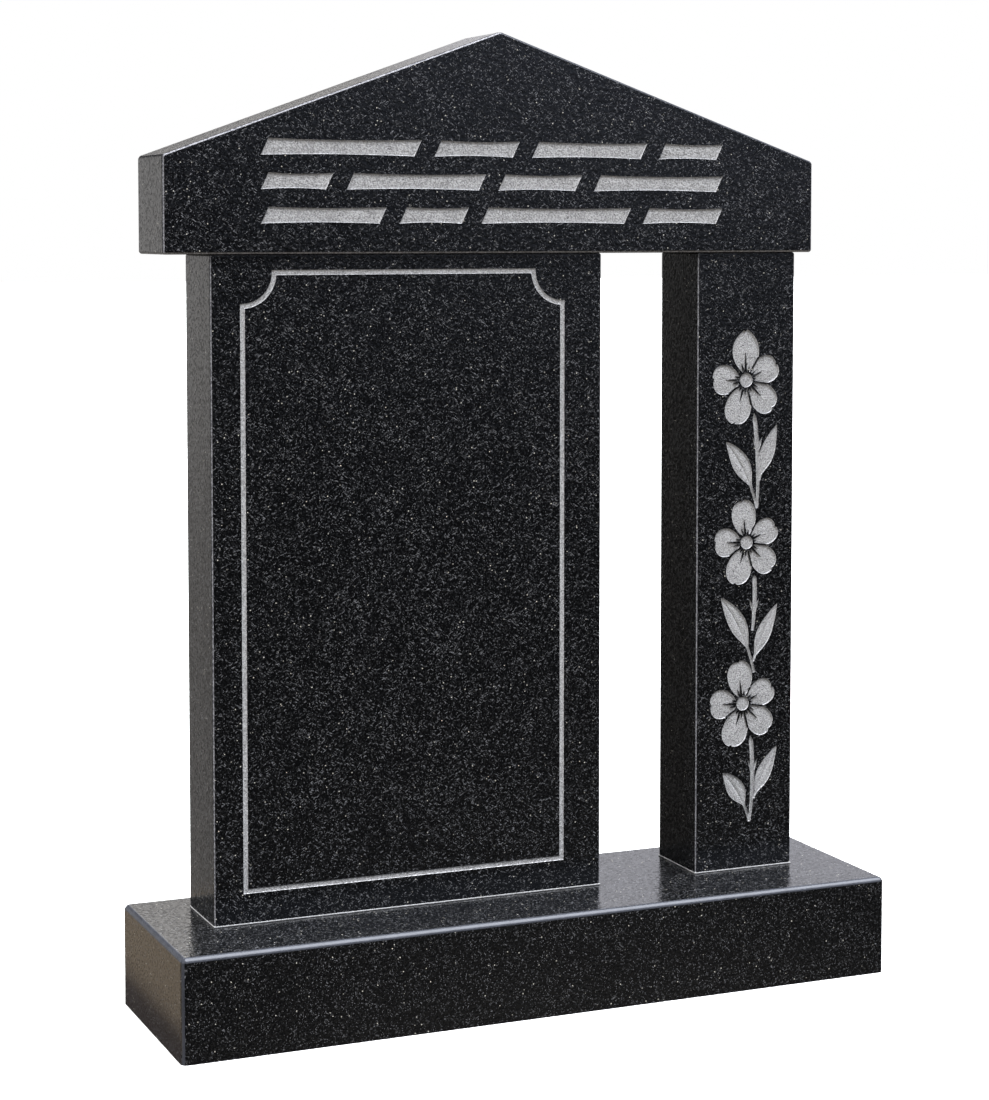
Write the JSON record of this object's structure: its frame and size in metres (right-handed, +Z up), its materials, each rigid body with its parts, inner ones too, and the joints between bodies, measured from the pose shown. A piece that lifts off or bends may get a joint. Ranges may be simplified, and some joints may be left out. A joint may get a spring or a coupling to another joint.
{
  "type": "headstone",
  "caption": "Gabled headstone of polished dark granite: a tablet and a slim carved pillar stand on a low base and carry a pediment.",
  "frame": {"origin": "on the ground under the middle of the base", "axes": "+X to the right seen from the front, -Y out of the carved front, +Z up"},
  "size_m": [0.9, 0.25, 1.1527],
  "materials": {
    "granite": "polished, with the carving frosted light grey"
  },
  "bodies": {
    "root": {"base": "granite", "tablet": "granite", "pillar": "granite", "pediment": "granite"}
  },
  "joints": []
}
